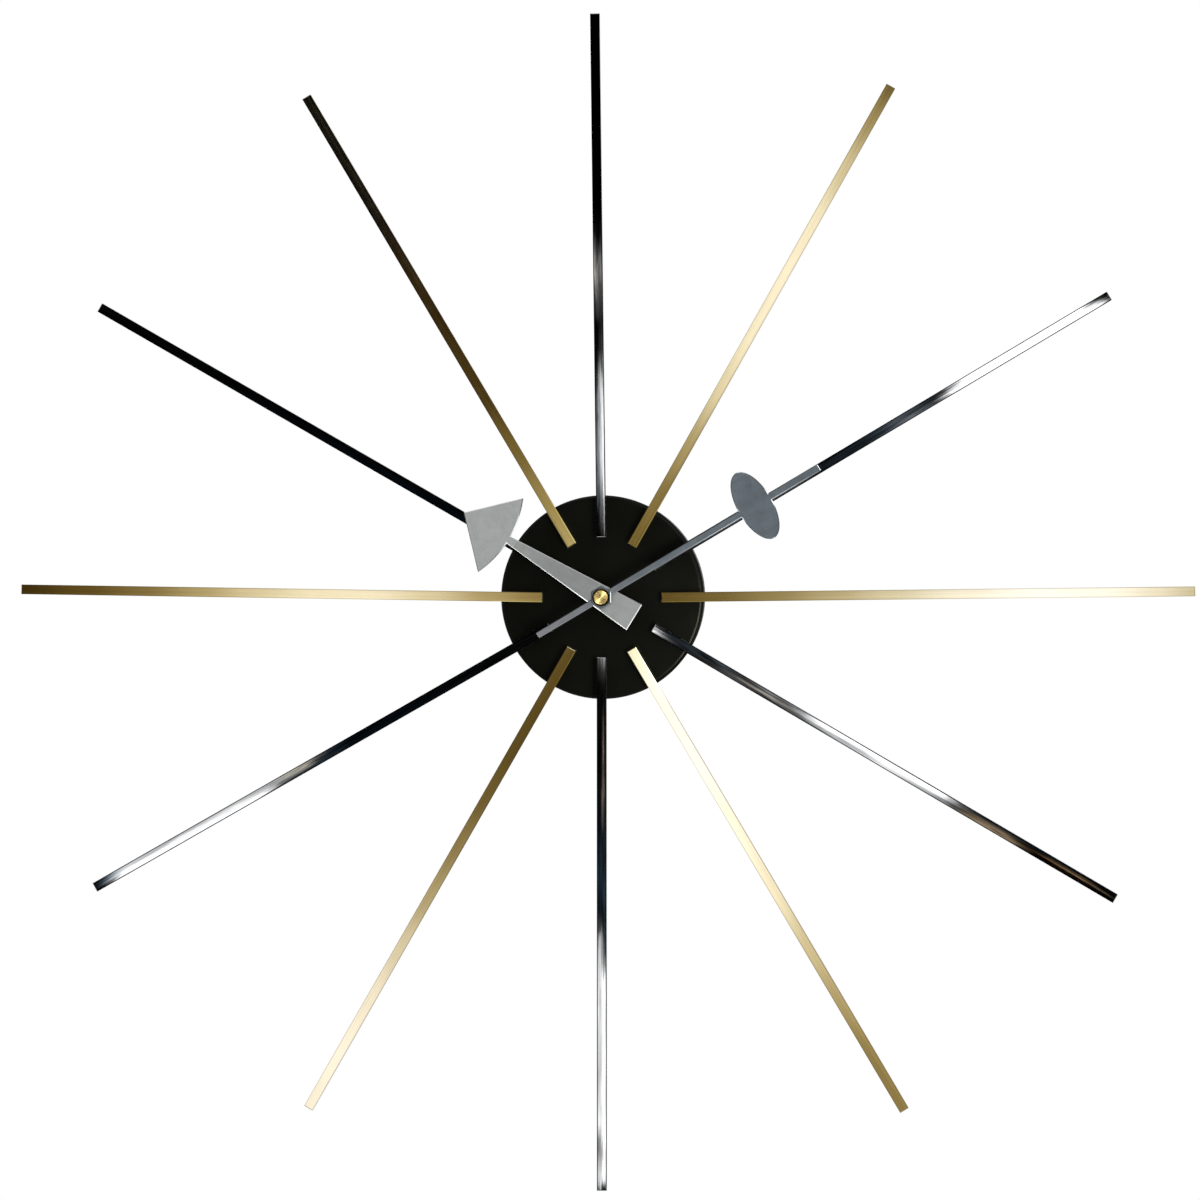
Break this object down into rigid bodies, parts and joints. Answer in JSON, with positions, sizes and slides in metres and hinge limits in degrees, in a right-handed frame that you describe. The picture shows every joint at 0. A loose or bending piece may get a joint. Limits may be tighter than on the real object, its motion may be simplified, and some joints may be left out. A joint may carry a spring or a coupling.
{
  "type": "sunburst wall clock",
  "caption": "Sunburst wall clock: chrome and brass rays on a shallow black drum, flat fan and oval hands, and a battery quartz movement with its gear train behind the dial.",
  "frame": {"origin": "on the hand axis, on the wall plane, which is the rear face of the drum and back cover", "axes": "+Z towards 12 o'clock, +X towards 3 o'clock, the dial faces -Y and the wall is on the +Y side"},
  "size_m": [0.61, 0.037, 0.61],
  "materials": {
    "black_lacquer": "satin",
    "zinc_plate": "satin",
    "screw_steel": "gloss",
    "chrome": "polished",
    "ray_brass": "polished",
    "hour_aluminium": "satin",
    "minute_aluminium": "satin",
    "turned_brass": "gloss",
    "plain_brass": "satin",
    "gasket_rubber": "matte",
    "black_plastic": "matte",
    "set_knob_plastic": "satin",
    "ivory_plastic": "satin",
    "spring_steel": "gloss",
    "stator_iron": "satin",
    "magnet": "satin",
    "copper_winding": "gloss",
    "board_green": "satin",
    "chip_black": "gloss",
    "crystal_can": "gloss",
    "cell_jacket": "gloss"
  },
  "bodies": {
    "clock_body": {"dial_drum": "black_lacquer", "back_cover": "zinc_plate", "back_cover_screws": "screw_steel", "cover_standoffs": "zinc_plate", "ray_screws": "screw_steel", "ray_12": "chrome", "ray_01": "ray_brass", "ray_02": "chrome", "ray_03": "ray_brass", "ray_04": "chrome", "ray_05": "ray_brass", "ray_06": "chrome", "ray_07": "ray_brass", "ray_08": "chrome", "ray_09": "ray_brass", "ray_10": "chrome", "ray_11": "ray_brass", "dial_gasket": "gasket_rubber", "fixing_washer": "plain_brass", "hex_nut": "plain_brass", "threaded_bushing": "plain_brass", "movement_case": "black_plastic", "movement_cover": "black_plastic", "train_plate": "ivory_plastic", "stator_plate": "stator_iron", "coil_core": "stator_iron", "coil_bobbin": "ivory_plastic", "coil_winding": "copper_winding", "stator_screws": "screw_steel", "circuit_board": "board_green", "timer_chip": "chip_black", "quartz_crystal": "crystal_can", "positive_contact": "spring_steel", "negative_contact": "spring_steel"},
    "minute_train": {"minute_hand": "minute_aluminium", "minute_hand_hub": "minute_aluminium", "cap_nut": "turned_brass", "minute_arbor": "plain_brass", "centre_wheel": "ivory_plastic", "clutch_spring": "spring_steel", "clutch_ring": "plain_brass"},
    "hour_train": {"hour_hand": "hour_aluminium", "hour_hand_bush": "plain_brass", "hour_wheel": "ivory_plastic"},
    "setting_wheel": {"minute_wheel": "ivory_plastic", "setting_stem": "screw_steel", "set_knob": "set_knob_plastic"},
    "third_wheel_set": {"third_wheel": "ivory_plastic", "third_pinion": "plain_brass"},
    "seconds_wheel_set": {"seconds_wheel": "ivory_plastic", "seconds_pinion": "plain_brass"},
    "intermediate_wheel_set": {"intermediate_wheel": "ivory_plastic", "intermediate_pinion": "plain_brass"},
    "rotor": {"rotor_pinion": "ivory_plastic", "rotor_magnet": "magnet"},
    "battery": {"battery_cell": "cell_jacket"}
  },
  "joints": [
    {"name": "minute_hand_turn", "type": "hinge", "parent": "clock_body", "child": "minute_train", "pos_m": [0, 0, 0], "axis": [0, 1, 0], "continuous": true},
    {"name": "hour_hand_turn", "type": "hinge", "parent": "clock_body", "child": "hour_train", "pos_m": [0, 0, 0], "axis": [0, 1, 0], "continuous": true},
    {"name": "setting_wheel_turn", "type": "hinge", "parent": "clock_body", "child": "setting_wheel", "pos_m": [0.01182, 0, 0.00208], "axis": [0, 1, 0], "continuous": true},
    {"name": "third_wheel_turn", "type": "hinge", "parent": "clock_body", "child": "third_wheel_set", "pos_m": [-0.00203, 0, 0.01152], "axis": [0, 1, 0], "continuous": true},
    {"name": "seconds_wheel_turn", "type": "hinge", "parent": "clock_body", "child": "seconds_wheel_set", "pos_m": [0, 0, 0], "axis": [0, 1, 0], "continuous": true},
    {"name": "intermediate_wheel_turn", "type": "hinge", "parent": "clock_body", "child": "intermediate_wheel_set", "pos_m": [-0.01152, 0, 0], "axis": [0, 1, 0], "continuous": true},
    {"name": "rotor_turn", "type": "hinge", "parent": "clock_body", "child": "rotor", "pos_m": [-0.01589, 0, 0.00758], "axis": [0, 1, 0], "continuous": true},
    {"name": "battery_lift", "type": "slide", "parent": "clock_body", "child": "battery", "axis": [0, 1, 0], "range_m": [0, 0.03]}
  ],
  "couplings": [
    {"joint": "hour_hand_turn", "follows": "minute_hand_turn", "ratio": 0.083333},
    {"joint": "setting_wheel_turn", "follows": "minute_hand_turn", "ratio": -0.33333},
    {"joint": "third_wheel_turn", "follows": "minute_hand_turn", "ratio": -8},
    {"joint": "seconds_wheel_turn", "follows": "minute_hand_turn", "ratio": 60},
    {"joint": "intermediate_wheel_turn", "follows": "minute_hand_turn", "ratio": -300},
    {"joint": "rotor_turn", "follows": "minute_hand_turn", "ratio": 1800}
  ]
}
